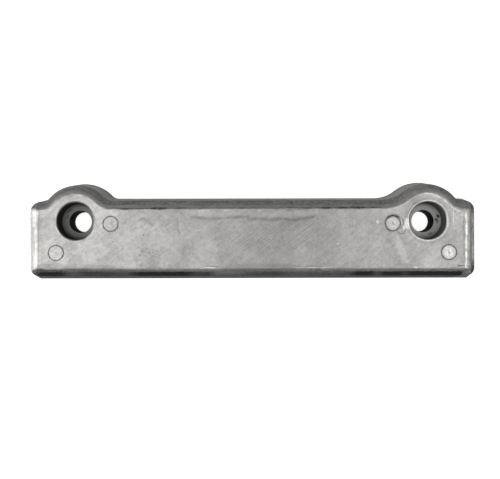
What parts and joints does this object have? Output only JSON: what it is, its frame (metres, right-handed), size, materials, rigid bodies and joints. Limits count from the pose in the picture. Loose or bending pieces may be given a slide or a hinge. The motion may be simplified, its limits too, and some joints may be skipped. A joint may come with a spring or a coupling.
{
  "type": "sacrificial anode",
  "caption": "Cast aluminium bar anode for bolting to a hull or drive, with an ear and a counterbored bolt hole at each end.",
  "frame": {"origin": "midway between the two bolt axes, in the plane of the mounting face", "axes": "+X along the bar, +Y towards the edge with the ears, +Z out of the front face along the bolt axes"},
  "size_m": [0.2327, 0.0514, 0.025],
  "materials": {
    "cast_aluminium": "as-cast, satin to dull, with flow lines, fine scratches and stained side walls"
  },
  "bodies": {
    "root": {"anode_casting": "cast_aluminium"}
  },
  "joints": []
}
